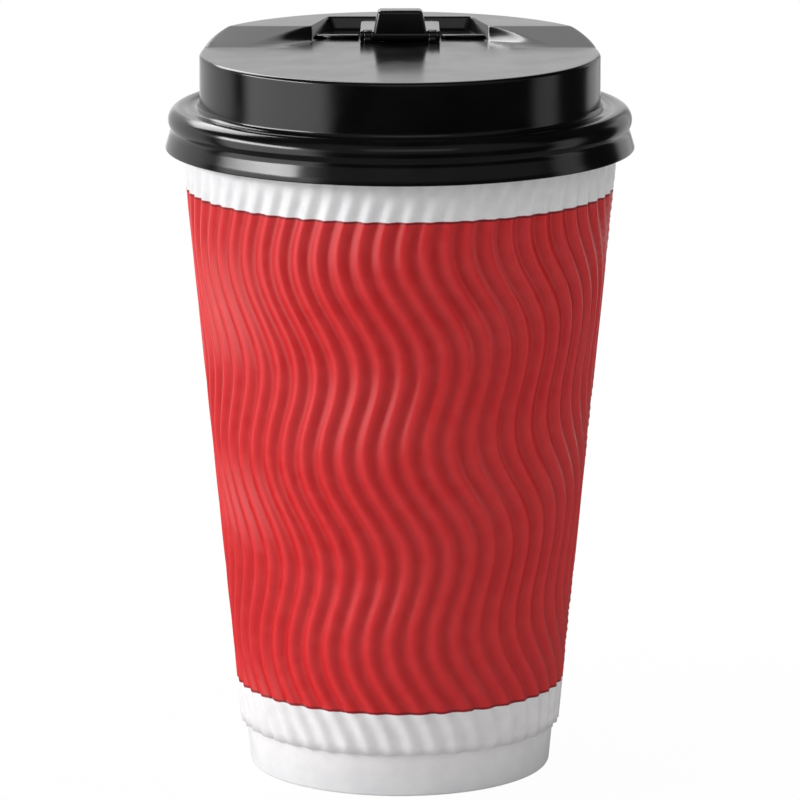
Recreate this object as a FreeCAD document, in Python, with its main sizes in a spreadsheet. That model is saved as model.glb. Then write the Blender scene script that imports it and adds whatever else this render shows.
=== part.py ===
"""Takeaway paper cup: sidewall, base disc, ripple sleeve, press-on lid and flip tab.

Millimetres, +Z up. The origin is on the floor, at the middle of the cup's base.
The front of the lid faces -Y, and the sip opening lies towards +Y.
"""
import FreeCAD, Part
import math
import os
import re
import Sketcher

# Driving dimensions, all in millimetres unless the name ends in angle (degrees).
SIZES = {
    # sidewall
    "cup_height": 133.7,
    "base_radius": 30.2,
    "neck_radius": 42.9,
    "paper": 0.4,
    "roll_radius": 1.3,
    "curl_angle": 120,
    "fold_radius": 0.6,
    "hem_height": 7.6,
    "lap_angle": 10,
    "lap_end_gap": 1.5,
    # base disc
    "base_paper": 0.35,
    "base_recess": 8.8,
    "glue_gap": 0.04,
    # ripple sleeve
    "sleeve_bottom": 8.9,
    "sleeve_brim_gap": 2.6,
    "sleeve_gap": 0.12,
    "sheet": 0.32,
    "flute_depth": 0.75,
    "flute_pitch": 4.241,
    "flute_start": 1.31,
    "wave_length": 39.79,
    "wave_swing": 2.852,
    "wave_start": 9.57,
    "web_angle": -77.6,
    "seam_margin": 3.0,
    "smooth_top": 3.5,
    "fade_top": 6.0,
    # lid skirt and dome
    "lid_wall": 0.55,
    "seat_gap": 0.1,
    "skirt_drop": 8.5,
    "lip_radius": 46.75,
    "lip_round": 0.3,
    "bead_reach": 1.1,
    "bead_round": 2.7,
    "neck_inset": 0.6,
    "gutter_depth": 0.5,
    "dome_inset": 5.2,
    "dome_root": 1.2,
    "dome_rise": 10.5,
    "rim_round": 0.8,
    # raised rear deck and its recess
    "back_rise": 2.5,
    "crease": 6.0,
    "slope_end": 18.9,
    "dish_forward": 6.0,
    "dish_radius": 27.0,
    "dish_draft_angle": 56,
    "slot_middle": 21.5,
    "slot_back": 13.6,
    "slot_end": 31.0,
    "slot_draft_angle": 25,
    "rib_at": 18.2,
    "rib_depth": 2.0,
    "rib_height": 0.73,
    "rib_gap": 0.3,
    "rib_end": 16.9,
    # hinge
    "axle_at": 14.0,
    "axle_lift": 1.2,
    "axle_radius": 0.55,
    "axle_gap": 0.08,
    "lug_inside": 5.8,
    "lug_width": 1.4,
    "lug_radius": 1.1,
    "lug_gap": 0.15,
    "knuckle_radius": 1.05,
    # flip tab
    "tab_width": 16.0,
    "tab_end": 27.9,
    "tab_plate": 1.2,
    "tab_corner": 1.6,
    "block_width": 10.8,
    "block_top_width": 8.9,
    "block_front": 0.9,
    "block_depth": 5.2,
    "block_top_inset": 0.3,
    "block_height": 4.1,
    "block_round": 0.7,
    # plug and sip opening
    "plug_length": 9.0,
    "plug_width": 4.4,
    "plug_at": 24.5,
    "plug_reach": 1.3,
    "plug_draft_angle": 6,
    "plug_gap": 0.15,
}

# Levels and radii that follow from the driving dimensions, as sheet formulas.
TAPER = "((neck_radius - base_radius) / (cup_height - roll_radius))"
ROLL_LEVEL = "(cup_height - roll_radius)"
ROLL_CENTRE = "(neck_radius - paper + roll_radius)"
ROLL_INSIDE = "(roll_radius - paper)"
HEM_WIDTH = "(2 * paper + base_paper + 2 * glue_gap)"
BRIM_RADIUS = "(neck_radius - paper + 2 * roll_radius)"
DOME_RADIUS = f"({BRIM_RADIUS} - dome_inset)"
LEDGE = "(cup_height + seat_gap + lid_wall)"
SKIRT_BOTTOM = "(cup_height + seat_gap + lid_wall - skirt_drop)"
DECK = "(cup_height + seat_gap + lid_wall + dome_rise)"
BEAD_RADIUS = f"({BRIM_RADIUS} + bead_reach)"
BEAD_CENTRE = f"({BEAD_RADIUS} - bead_round)"
BEAD_LEVEL = f"({LEDGE} - bead_round)"
AXLE_LEVEL = f"({DECK} + axle_lift)"
PLATE_TOP = f"({AXLE_LEVEL} + knuckle_radius)"

SLEEVE_ROWS = 21
NEWTON_STEPS = 8
MERGE_TOLERANCE = 0.0001

doc = FreeCAD.newDocument("CoffeeCup")
sheet = doc.addObject("Spreadsheet::Sheet", "Sizes")
for row, (alias, size) in enumerate(SIZES.items(), start=1):
    sheet.set(f"A{row}", alias)
    sheet.set(f"B{row}", str(size))
    sheet.setAlias(f"B{row}", alias)
doc.recompute()

WORDS = re.compile(r"[a-z_]+")


def formula(text):
    """Return the text with each size's name pointing at its cell of the sheet."""
    return WORDS.sub(lambda m: f"Sizes.{m[0]}" if m[0] in SIZES else m[0], text)


def value(text):
    """Return what a formula of the sheet's sizes comes to."""
    return float(sheet.evalExpression(formula(text)))


def bind(thing, **formulas):
    """Tie properties of an object to formulas of the sheet's sizes."""
    for name, text in formulas.items():
        thing.setExpression(name, formula(text))


def trace(sketch, corners, arcs=None):
    """Draw a closed outline whose corners and radii are tied to the sheet.

    corners holds (across, up) formulas. arcs maps the index of a side's first
    corner to a point that the side passes through and a rule for its size: its
    Radius, or its centre's DistanceX or DistanceY from the origin.
    """
    arcs = arcs or {}
    points = [FreeCAD.Vector(value(x), value(y), 0) for x, y in corners]
    for index, start in enumerate(points):
        end = points[(index + 1) % len(points)]
        if index in arcs:
            via = FreeCAD.Vector(value(arcs[index][0]), value(arcs[index][1]), 0)
            sketch.addGeometry(Part.Arc(start, via, end))
        else:
            sketch.addGeometry(Part.LineSegment(start, end))
    ends = []
    for index in range(len(points)):
        swapped = False
        if index in arcs:
            first = sketch.getPoint(index, 1)
            swapped = first.distanceToPoint(points[index]) > MERGE_TOLERANCE
        ends.append((2, 1) if swapped else (1, 2))
    for index in range(len(points)):
        after = (index + 1) % len(points)
        sketch.addConstraint(Sketcher.Constraint("Coincident", index, ends[index][1], after, ends[after][0]))
    for index, (x, y) in enumerate(corners):
        for kind, text, size in (("DistanceX", x, points[index].x), ("DistanceY", y, points[index].y)):
            if abs(size) < MERGE_TOLERANCE:
                on_axis = -2 if kind == "DistanceX" else -1
                sketch.addConstraint(Sketcher.Constraint("PointOnObject", index, ends[index][0], on_axis))
                continue
            rule = sketch.addConstraint(Sketcher.Constraint(kind, -1, 1, index, ends[index][0], size))
            sketch.setExpression(f"Constraints[{rule}]", formula(text))
    for index, (_, _, kind, text) in arcs.items():
        centre = () if kind == "Radius" else (3,)
        start = () if kind == "Radius" else (-1, 1)
        rule = sketch.addConstraint(Sketcher.Constraint(kind, *start, index, *centre, value(text)))
        sketch.setExpression(f"Constraints[{rule}]", formula(text))


def body_sketch(body, name, role, level=None):
    """Add a sketch to a body on one of its origin planes, raised to a level."""
    sketch = body.newObject("Sketcher::SketchObject", name)
    plane = next(item for item in body.Origin.OriginFeatures if item.Role == role)
    sketch.AttachmentSupport = (plane, "")
    sketch.MapMode = "FlatFace"
    if level:
        sketch.setExpression("AttachmentOffset.Base.z", formula(level))
    return sketch


def free_sketch(name, turn, level=None):
    """Add a sketch that belongs to no body, turned into its plane."""
    sketch = doc.addObject("Sketcher::SketchObject", name)
    sketch.Placement = FreeCAD.Placement(FreeCAD.Vector(0, 0, value(level) if level else 0), turn)
    if level:
        sketch.setExpression("Placement.Base.z", formula(level))
    return sketch


PLAN = FreeCAD.Rotation()
SIDE = FreeCAD.Rotation(FreeCAD.Vector(1, 1, 1), 120)
FRONT = FreeCAD.Rotation(FreeCAD.Vector(1, 0, 0), 90)


def make_cup_wall():
    """Sidewall with its folded hem, rolled brim and lapped seam."""
    body = doc.addObject("PartDesign::Body", "cup_wall")
    outline = body_sketch(body, "wall_outline", "XZ_Plane")
    curl_in = "cos(curl_angle * 1deg)"
    curl_down = "sin(curl_angle * 1deg)"
    corners = [
        ("base_radius - fold_radius", "0"),
        (f"base_radius - {HEM_WIDTH}", "0"),
        (f"base_radius - {HEM_WIDTH} + {TAPER} * hem_height", "hem_height"),
        (f"base_radius - {HEM_WIDTH} + paper + {TAPER} * hem_height", "hem_height"),
        (f"base_radius - {HEM_WIDTH} + paper + {TAPER} * paper", "paper"),
        (f"base_radius - paper + {TAPER} * paper", "paper"),
        ("neck_radius - paper", ROLL_LEVEL),
        (f"{ROLL_CENTRE} + roll_radius * {curl_in}", f"{ROLL_LEVEL} - roll_radius * {curl_down}"),
        (f"{ROLL_CENTRE} + {ROLL_INSIDE} * {curl_in}", f"{ROLL_LEVEL} - {ROLL_INSIDE} * {curl_down}"),
        ("neck_radius", ROLL_LEVEL),
        (f"base_radius + {TAPER} * fold_radius", "fold_radius"),
    ]
    diagonal = "(1 - sqrt(0.5))"
    arcs = {
        6: (ROLL_CENTRE, f"{ROLL_LEVEL} + roll_radius", "Radius", "roll_radius"),
        8: (ROLL_CENTRE, f"{ROLL_LEVEL} + {ROLL_INSIDE}", "Radius", ROLL_INSIDE),
        10: (f"base_radius - fold_radius * {diagonal}", f"fold_radius * {diagonal}", "Radius", "fold_radius"),
    }
    trace(outline, corners, arcs)
    shell = body.newObject("PartDesign::Revolution", "wall_shell")
    shell.Profile = outline
    shell.ReferenceAxis = (outline, ["V_Axis"])
    doc.recompute()

    lap = body_sketch(body, "lap_outline", "YZ_Plane")
    low = "(base_recess + base_paper + lap_end_gap)"
    high = f"({ROLL_LEVEL} - lap_end_gap)"
    trace(lap, [
        (f"base_radius - 2 * paper + {TAPER} * {low}", low),
        (f"base_radius - paper / 2 + {TAPER} * {low}", low),
        (f"base_radius - paper / 2 + {TAPER} * {high}", high),
        (f"base_radius - 2 * paper + {TAPER} * {high}", high),
    ])
    seam = body.newObject("PartDesign::Revolution", "wall_lap")
    seam.Profile = lap
    seam.ReferenceAxis = (lap, ["V_Axis"])
    seam.Midplane = True
    bind(seam, Angle="lap_angle")
    return body


def make_cup_base():
    """Base disc with the flange that stands in the sidewall's hem."""
    body = doc.addObject("PartDesign::Body", "cup_base")
    outline = body_sketch(body, "base_outline", "XZ_Plane")
    top = "(base_recess + base_paper)"
    edge = "(base_radius - paper - glue_gap)"
    trace(outline, [
        ("0", "base_recess"),
        (f"{edge} - base_paper + {TAPER} * base_recess", "base_recess"),
        (f"{edge} - base_paper + {TAPER} * paper", "paper"),
        (f"{edge} + {TAPER} * paper", "paper"),
        (f"{edge} + {TAPER} * {top}", top),
        ("0", top),
    ])
    disc = body.newObject("PartDesign::Revolution", "base_disc")
    disc.Profile = outline
    disc.ReferenceAxis = (outline, ["V_Axis"])
    return body


class FlutedWeb:
    """The fluted paper before it is wrapped: parallel S-shaped flutes on a flat sheet.

    The sleeve is the sector of a ring cut from this web. A point of the cone at a
    height and an angle lies in the flat at its slant distance from the cone's tip.
    """

    def __init__(self):
        self.taper = value(TAPER)
        self.sine = self.taper / math.hypot(1, self.taper)
        self.base_radius = value("base_radius")
        self.pitch = value("flute_pitch")
        self.start = value("flute_start")
        self.swing = value("wave_swing")
        self.length = value("wave_length")
        self.wave_start = value("wave_start")
        self.seam_margin = value("seam_margin")
        self.half = math.pi * self.sine
        self.middle = self.slant(value("cup_height") / 2)

    def slant(self, level):
        """Distance from the cone's tip to the wall at this height."""
        return (self.base_radius + self.taper * level) / self.sine

    def wave(self, along):
        """Sideways swing of every flute at a place along the web."""
        return self.swing * math.sin(2 * math.pi * (along - self.wave_start) / self.length)

    def fold_angle(self, index, level):
        """Angle in the flat sector at which a fold line crosses this height."""
        slant = self.slant(level)
        line = self.start + index * self.pitch / 2
        angle = line / slant
        for _ in range(NEWTON_STEPS):
            across = line + self.wave(slant * math.cos(angle) - self.middle)
            angle = math.asin(across / slant)
        return angle

    def folds(self, level):
        """Fold lines at this height, as (index, angle) from seam to seam."""
        limit = self.half - self.seam_margin / self.slant(level)
        reach = int(2 * self.slant(level) * math.sin(self.half) / self.pitch) + 4
        crossings = ((index, self.fold_angle(index, level)) for index in range(-reach, reach + 1))
        return [(index, angle) for index, angle in crossings if abs(angle) < limit]


def sleeve_levels():
    """Heights of the sleeve's rows, from its bottom edge to its top edge."""
    bottom = value("sleeve_bottom")
    top = value(f"{ROLL_LEVEL} - sleeve_brim_gap")
    ripple_top = top - value("smooth_top")
    full_top = ripple_top - value("fade_top")
    rows = [bottom + (full_top - bottom) * row / SLEEVE_ROWS for row in range(SLEEVE_ROWS + 1)]
    return rows + [ripple_top, top]


def make_ripple_sleeve():
    """Ripple wrap: one fluted sheet, folded in a zigzag and closed at its seam."""
    web = FlutedWeb()
    levels = sleeve_levels()
    depth = value("flute_depth")
    sheet_radius = value("base_radius + sleeve_gap")
    thickness = value("sheet")
    web_turn = math.radians(value("web_angle") - 90)
    seam_index = 10 ** 6
    points = []
    rows = []
    for level in levels:
        fluted = level <= levels[-3] + MERGE_TOLERANCE
        marks = [(-seam_index, -web.half)] + web.folds(level) + [(seam_index, web.half)]
        row = []
        for index, angle in marks[:-1]:
            share = index % 2 if fluted and abs(index) != seam_index else 0.5
            inside = sheet_radius + web.taper * level + depth * share
            turn = web_turn + angle / web.sine
            row.append((index, len(points)))
            for radius in (inside, inside + thickness):
                points.append(FreeCAD.Vector(radius * math.cos(turn), radius * math.sin(turn), level))
        rows.append(row + [(seam_index, row[0][1])])
    faces = []
    for low, high in zip(rows, rows[1:]):
        for one, two, three in stitch(low, high):
            faces.append((one + 1, two + 1, three + 1))
            faces.append((one, three, two))
    for edge, turned in ((rows[0], False), (rows[-1], True)):
        for (_, one), (_, two) in zip(edge, edge[1:]):
            ring = [(one, one + 1, two + 1), (one, two + 1, two)]
            faces.extend((a, c, b) if turned else (a, b, c) for a, b, c in ring)
    shape = Part.Shape()
    shape.makeShapeFromMesh((points, faces), MERGE_TOLERANCE)
    wrap = doc.addObject("Part::Feature", "ripple_sleeve")
    wrap.Shape = Part.Solid(Part.Shell(shape.Faces))
    wrap.Placement = FreeCAD.Placement()
    return wrap


def stitch(low, high):
    """Triangles between two rows of (index, point), paired by the fold they lie on."""
    left, right = 0, 0
    while left < len(low) - 1 or right < len(high) - 1:
        step_low = right == len(high) - 1
        if left < len(low) - 1 and right < len(high) - 1:
            step_low = low[left + 1][0] <= high[right + 1][0]
        if step_low:
            yield low[left][1], low[left + 1][1], high[right][1]
            left += 1
        else:
            yield low[left][1], high[right + 1][1], high[right][1]
            right += 1


def revolve(name, corners, arcs):
    """Turn an outline in the XZ plane once round the Z axis."""
    outline = free_sketch(name + "_outline", FRONT)
    trace(outline, corners, arcs)
    turned = doc.addObject("Part::Revolution", name)
    turned.Source = outline
    turned.Axis = FreeCAD.Vector(0, 0, 1)
    turned.Angle = 360
    turned.Solid = True
    return turned


def combine(kind, name, base, tool):
    """Join two objects by a boolean and merge faces that continue each other."""
    result = doc.addObject("Part::" + kind, name)
    result.Base = base
    result.Tool = tool
    result.Refine = True
    doc.recompute()
    return result


def lid_profile(name, inset):
    """Solid of revolution under the lid's skin, set in from the outside by an amount."""
    ring = f"(bead_round - {inset})"
    neck = f"({BEAD_RADIUS} - neck_inset - {inset})"
    neck_run = f"({neck} - {BEAD_CENTRE})"
    neck_level = f"({BEAD_LEVEL} - sqrt({ring} * {ring} - {neck_run} * {neck_run}))"
    gutter = f"({LEDGE} - gutter_depth - {inset})"
    gutter_drop = f"({gutter} - {BEAD_LEVEL})"
    gutter_start = f"({BEAD_CENTRE} - sqrt({ring} * {ring} - {gutter_drop} * {gutter_drop}))"
    root = f"(dome_root + {inset})"
    wall = f"({DOME_RADIUS} - {inset})"
    top = f"({DECK} - {inset})"
    diagonal = "(1 - sqrt(0.5))"
    corners = [
        ("0", SKIRT_BOTTOM),
        (f"lip_radius - lip_round - {inset}", SKIRT_BOTTOM),
        (f"lip_radius - {inset}", f"{SKIRT_BOTTOM} + lip_round"),
        (neck, neck_level),
        (gutter_start, gutter),
        (f"{wall} + {root}", gutter),
        (wall, f"{gutter} + {root}"),
        (wall, top),
        ("0", top),
    ]
    arcs = {
        1: (f"lip_radius - {inset} - lip_round * {diagonal}",
            f"{SKIRT_BOTTOM} + lip_round * {diagonal}", "Radius", "lip_round"),
        3: (f"{BEAD_CENTRE} + {ring} * sqrt(0.5)", f"{BEAD_LEVEL} + {ring} * sqrt(0.5)", "Radius", ring),
        5: (f"{wall} + {root} * {diagonal}", f"{gutter} + {root} * {diagonal}", "Radius", root),
    }
    return revolve(name, corners, arcs)


def rear_deck(name, inset):
    """Raised rear deck: a ramp and a flat, round at the back like the dome."""
    level = f"({DECK} - {inset})"
    ramp = free_sketch(name + "_side", SIDE)
    trace(ramp, [
        ("crease", level),
        ("slope_end", f"{level} + back_rise"),
        (f"{DOME_RADIUS} + lid_wall", f"{level} + back_rise"),
        (f"{DOME_RADIUS} + lid_wall", f"{level} - lid_wall"),
        ("crease", f"{level} - lid_wall"),
    ])
    block = doc.addObject("Part::Extrusion", name + "_block")
    block.Base = ramp
    block.DirMode = "Normal"
    block.Solid = True
    block.Symmetric = True
    bind(block, LengthFwd=f"2 * {DOME_RADIUS}")
    drum = doc.addObject("Part::Cylinder", name + "_drum")
    bind(drum, Radius=f"{DOME_RADIUS} - {inset}", Height="back_rise + 2 * lid_wall")
    drum.setExpression("Placement.Base.z", formula(f"{level} - lid_wall"))
    return combine("Common", name, block, drum)


def drafted(inset, angle):
    """How far a drafted wall's foot moves outwards when wall and floor are set in."""
    return f"({inset} * (1 - sin({angle} * 1deg)) / cos({angle} * 1deg))"


def recess_tool(name, inset):
    """Hollow of the recess: a wide shallow dish, and the tab's slot that leads back from it."""
    floor = f"{DECK} - {inset}"
    depth = "(back_rise + 2 * lid_wall)"
    dish = doc.addObject("Part::Cone", name + "_dish")
    foot = f"(dish_radius + {drafted(inset, 'dish_draft_angle')})"
    bind(dish, Radius1=foot, Radius2=f"{foot} + {depth} * tan(dish_draft_angle * 1deg)", Height=depth)
    dish.setExpression("Placement.Base.y", formula("-dish_forward"))
    dish.setExpression("Placement.Base.z", formula(floor))
    plan = free_sketch(name + "_plan", PLAN, floor)
    grow = drafted(inset, "slot_draft_angle")
    middle = f"(slot_middle + {grow})"
    back = f"(slot_back + {grow})"
    end = f"slot_end + {grow}"
    trace(plan, [(middle, "0"), (back, end), (f"-{back}", end), (f"-{middle}", "0")])
    slot = doc.addObject("Part::Extrusion", name + "_slot")
    slot.Base = plan
    slot.DirMode = "Normal"
    slot.Solid = True
    bind(slot, LengthFwd=depth, TaperAngle="slot_draft_angle")
    return combine("Fuse", name, dish, slot)


def lid_form(name, inset):
    """Dome, skirt and rear deck with the recess, all set in by an amount."""
    turned = lid_profile(name + "_turned", inset)
    deck = rear_deck(name + "_deck", inset)
    joined = combine("Fuse", name + "_joined", turned, deck)
    return combine("Cut", name, joined, recess_tool(name + "_recess", inset))


def round_edges(name, base, chosen):
    """Round the chosen edges; chosen gives each edge's radius, or none."""
    rounded = doc.addObject("Part::Fillet", name)
    rounded.Base = base
    marks = []
    for number, edge in enumerate(base.Shape.Edges, start=1):
        radius = chosen(edge)
        if radius:
            marks.append((number, radius, radius))
    rounded.Edges = marks
    doc.recompute()
    return rounded


def cylinder_across(name, radius, half_length):
    """Cylinder along X on the hinge's axis."""
    pin = doc.addObject("Part::Cylinder", name)
    bind(pin, Radius=radius, Height=f"2 * ({half_length})")
    pin.Placement = FreeCAD.Placement(FreeCAD.Vector(), FreeCAD.Rotation(FreeCAD.Vector(0, 1, 0), 90))
    pin.setExpression("Placement.Base.x", formula(f"-({half_length})"))
    pin.setExpression("Placement.Base.y", formula("axle_at"))
    pin.setExpression("Placement.Base.z", formula(AXLE_LEVEL))
    return pin


def hinge_lug(name, side):
    """Round-topped lug on the recess floor, with its outer face away from the tab."""
    cheek = free_sketch(name + "_cheek", SIDE)
    foot = f"({DECK} - lid_wall / 2)"
    trace(cheek, [
        ("axle_at - lug_radius", foot),
        ("axle_at + lug_radius", foot),
        ("axle_at + lug_radius", AXLE_LEVEL),
        ("axle_at - lug_radius", AXLE_LEVEL),
    ], {2: ("axle_at", f"{AXLE_LEVEL} + lug_radius", "DistanceY", AXLE_LEVEL)})
    lug = doc.addObject("Part::Extrusion", name)
    lug.Base = cheek
    lug.DirMode = "Normal"
    lug.Solid = True
    bind(lug, LengthFwd="lug_width")
    start = "lug_inside" if side > 0 else "-(lug_inside + lug_width)"
    cheek.setExpression("Placement.Base.x", formula(start))
    return lug


def floor_rib(name, side):
    """Low rib across the slot's floor, between the tab and the slot's side."""
    rib = doc.addObject("Part::Box", name)
    bind(rib, Length="rib_end - tab_width / 2 - rib_gap", Width="rib_depth")
    bind(rib, Height="rib_height + lid_wall / 2")
    start = "tab_width / 2 + rib_gap" if side > 0 else "-rib_end"
    for axis, place in (("x", start), ("y", "rib_at"), ("z", f"{DECK} - lid_wall / 2")):
        rib.setExpression("Placement.Base." + axis, formula(place))
    return rib


def make_lid():
    """Press-on lid: a thin moulded shell, two hinge lugs and the sip opening."""
    outside = round_edges("lid_rounded", lid_form("lid_outside", "0"), deck_rim_radius)
    for name, side in (("rib_right", 1), ("rib_left", -1)):
        outside = combine("Fuse", "lid_with_" + name, outside, floor_rib(name, side))
    inside = lid_form("lid_inside", "lid_wall")
    shell = combine("Cut", "lid_shell", outside, inside)
    for name, side in (("lug_right", 1), ("lug_left", -1)):
        shell = combine("Fuse", "lid_with_" + name, shell, hinge_lug(name, side))
    bores = cylinder_across("hinge_bore", "axle_radius + axle_gap", "lug_inside + lug_width + lid_wall")
    shell = combine("Cut", "lid_bored", shell, bores)
    opening = doc.addObject("Part::Box", "sip_opening")
    bind(opening, Length="plug_length + 2 * plug_gap", Width="plug_width + 2 * plug_gap")
    bind(opening, Height="3 * lid_wall")
    opening.setExpression("Placement.Base.x", formula("-(plug_length / 2 + plug_gap)"))
    opening.setExpression("Placement.Base.y", formula("plug_at - plug_width / 2 - plug_gap"))
    opening.setExpression("Placement.Base.z", formula(f"{DECK} - 2 * lid_wall"))
    doc.recompute()
    return combine("Cut", "lid", shell, round_edges("sip_opening_rounded", opening, upright_radius))


def deck_rim_radius(edge):
    """Radius for the edges where the decks meet the dome's wall."""
    middle = edge.valueAt((edge.FirstParameter + edge.LastParameter) / 2)
    on_wall = math.hypot(middle.x, middle.y) > value(DOME_RADIUS) - MERGE_TOLERANCE
    return value("rim_round") if on_wall and middle.z > value(DECK) - MERGE_TOLERANCE else None


def upright_radius(edge):
    """Radius for the upright corners of the sip opening and its plug."""
    start, end = edge.Vertexes[0].Point, edge.Vertexes[-1].Point
    upright = abs(start.z - end.z) > abs(start.x - end.x) + abs(start.y - end.y)
    return value("plug_width / 2 - plug_gap") if upright else None


def make_lid_tab():
    """Flip tab: knuckle and plate, cross pin, thumb block and plug."""
    body = doc.addObject("PartDesign::Body", "lid_tab")
    side = body_sketch(body, "plate_side", "YZ_Plane")
    under = f"({PLATE_TOP} - tab_plate)"
    trace(side, [
        ("axle_at", PLATE_TOP),
        ("axle_at", f"{AXLE_LEVEL} - knuckle_radius"),
        ("axle_at + knuckle_radius", under),
        ("tab_end", under),
        ("tab_end", PLATE_TOP),
    ], {0: ("axle_at - knuckle_radius", AXLE_LEVEL, "DistanceX", "axle_at")})
    plate = body.newObject("PartDesign::Pad", "plate")
    plate.Profile = side
    plate.Midplane = True
    bind(plate, Length="tab_width")
    doc.recompute()

    inner = "(lug_inside - lug_gap)"
    outer = "(lug_inside + lug_width + lug_gap)"
    clear = "axle_at + lug_radius + lug_gap"
    for hand, sign in (("right", ""), ("left", "-")):
        notch_plan = body_sketch(body, "notch_plan_" + hand, "XY_Plane", PLATE_TOP)
        near = [(sign + inner, "0"), (sign + outer, "0")]
        trace(notch_plan, near + [(sign + outer, clear), (sign + inner, clear)])
        notch = body.newObject("PartDesign::Pocket", "notch_" + hand)
        notch.Profile = notch_plan
        bind(notch, Length="3 * knuckle_radius")
        doc.recompute()

    pin_end = body_sketch(body, "pin_end", "YZ_Plane")
    pin_end.addGeometry(Part.Circle(FreeCAD.Vector(value("axle_at"), value(AXLE_LEVEL), 0),
                                    FreeCAD.Vector(0, 0, 1), value("axle_radius")))
    for kind, text, place in (("DistanceX", "axle_at", 3), ("DistanceY", AXLE_LEVEL, 3)):
        rule = pin_end.addConstraint(Sketcher.Constraint(kind, -1, 1, 0, place, value(text)))
        pin_end.setExpression(f"Constraints[{rule}]", formula(text))
    rule = pin_end.addConstraint(Sketcher.Constraint("Radius", 0, value("axle_radius")))
    pin_end.setExpression(f"Constraints[{rule}]", formula("axle_radius"))
    pin = body.newObject("PartDesign::Pad", "pin")
    pin.Profile = pin_end
    pin.Midplane = True
    bind(pin, Length="tab_width - 2 * lug_gap")
    doc.recompute()

    corners = body.newObject("PartDesign::Fillet", "plate_corners")
    corners.Base = (pin, edge_names(pin, plate_corner_edge))
    bind(corners, Radius="tab_corner")
    doc.recompute()

    foot = body_sketch(body, "block_foot", "XY_Plane", f"{PLATE_TOP} - tab_plate / 2")
    top = body_sketch(body, "block_top", "XY_Plane", f"{PLATE_TOP} + block_height")
    front = "(axle_at - block_front)"
    rear = f"({front} + block_depth)"
    rectangle(foot, "block_width / 2", front, rear)
    rectangle(top, "block_top_width / 2", f"{front} + block_top_inset", f"{rear} - block_top_inset")
    block = body.newObject("PartDesign::AdditiveLoft", "block")
    block.Profile = foot
    block.Sections = [top]
    block.Ruled = True
    doc.recompute()

    softened = body.newObject("PartDesign::Fillet", "block_corners")
    softened.Base = (block, edge_names(block, block_corner_edge))
    bind(softened, Radius="block_round")
    doc.recompute()

    stopper = body_sketch(body, "plug_plan", "XY_Plane", under)
    half = "(plug_length / 2 - plug_width / 2)"
    near = "(plug_at - plug_width / 2)"
    far = "(plug_at + plug_width / 2)"
    trace(stopper, [(f"-{half}", near), (half, near), (half, far), (f"-{half}", far)], {
        1: (f"{half} + plug_width / 2", "plug_at", "DistanceX", half),
        3: (f"-({half} + plug_width / 2)", "plug_at", "DistanceX", f"-{half}"),
    })
    plug = body.newObject("PartDesign::Pad", "plug")
    plug.Profile = stopper
    plug.Reversed = True
    bind(plug, Length=f"{under} - {DECK} + plug_reach", TaperAngle="-plug_draft_angle")
    return body


def rectangle(sketch, half_width, near, far):
    """Rectangle that is symmetric about X = 0."""
    left = f"-({half_width})"
    trace(sketch, [(left, near), (half_width, near), (half_width, far), (left, far)])


def edge_names(feature, chosen):
    """Names of the feature's edges that the test chooses."""
    return [f"Edge{number}" for number, edge in enumerate(feature.Shape.Edges, start=1) if chosen(edge)]


def plate_corner_edge(edge):
    """The two upright edges at the plate's free end."""
    points = [vertex.Point for vertex in edge.Vertexes]
    end = value("tab_end")
    upright = abs(points[0].z - points[-1].z) > value("tab_plate / 2")
    return upright and all(abs(point.y - end) < MERGE_TOLERANCE for point in points)


def block_corner_edge(edge):
    """The edges round the top of the block and up its four corners."""
    points = [vertex.Point for vertex in edge.Vertexes]
    return max(point.z for point in points) > value(f"{PLATE_TOP} + block_height / 2")


def check(thing):
    """Stop if an object failed to compute or holds a broken shape."""
    if any(state in ("Invalid", "Error") for state in thing.State):
        raise ValueError(f"{thing.Name} did not compute")


parts = [make_cup_wall(), make_cup_base(), make_ripple_sleeve(), make_lid(), make_lid_tab()]
doc.recompute()
for thing in doc.Objects:
    check(thing)
os.makedirs("parts", exist_ok=True)
for part in parts:
    part.Label = part.Name
    if part.Shape.isNull() or not part.Shape.isValid() or len(part.Shape.Solids) != 1:
        raise ValueError(f"{part.Label} is not one sound solid")
    print(part.Label, round(part.Shape.Volume, 2), len(part.Shape.Faces))
for part in parts:
    part.Shape.exportStep(f"parts/{part.Label}.step")
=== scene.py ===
"""Takeaway paper cup with a ripple wrap and a flip-tab lid: the visual model.

Metres, +Z up. The front of the lid faces -Y, and the sip opening lies towards +Y.
"""
import logging
import math
from dataclasses import dataclass
from enum import Enum
from typing import Callable, Iterable, Sequence, Union

import bmesh
import bpy
from mathutils import Matrix, Vector


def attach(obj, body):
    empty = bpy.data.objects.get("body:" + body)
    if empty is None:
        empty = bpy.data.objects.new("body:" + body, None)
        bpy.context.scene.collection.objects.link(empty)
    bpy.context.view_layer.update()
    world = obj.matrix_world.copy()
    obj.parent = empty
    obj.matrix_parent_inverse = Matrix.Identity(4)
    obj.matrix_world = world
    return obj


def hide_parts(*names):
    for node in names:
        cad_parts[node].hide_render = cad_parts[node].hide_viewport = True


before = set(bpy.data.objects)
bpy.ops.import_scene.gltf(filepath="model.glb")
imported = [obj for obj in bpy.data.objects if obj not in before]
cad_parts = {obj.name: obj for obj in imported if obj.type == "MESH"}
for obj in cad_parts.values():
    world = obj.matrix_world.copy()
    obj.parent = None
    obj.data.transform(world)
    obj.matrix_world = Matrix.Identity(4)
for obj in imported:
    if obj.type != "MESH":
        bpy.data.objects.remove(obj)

MM = 0.001
MERGE = 1e-6  # points nearer than this are one
ON_PLANE = MERGE / 10  # points nearer than this to a cut lie on it
SHARP = math.radians(60)  # edges that turn more than this are corners
SECTORS = 16  # a spin is one sector and its copies
WHITE = (1.0, 1.0, 1.0, 1.0)
Point = tuple[float, float]
Span = tuple[float, float]
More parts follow.
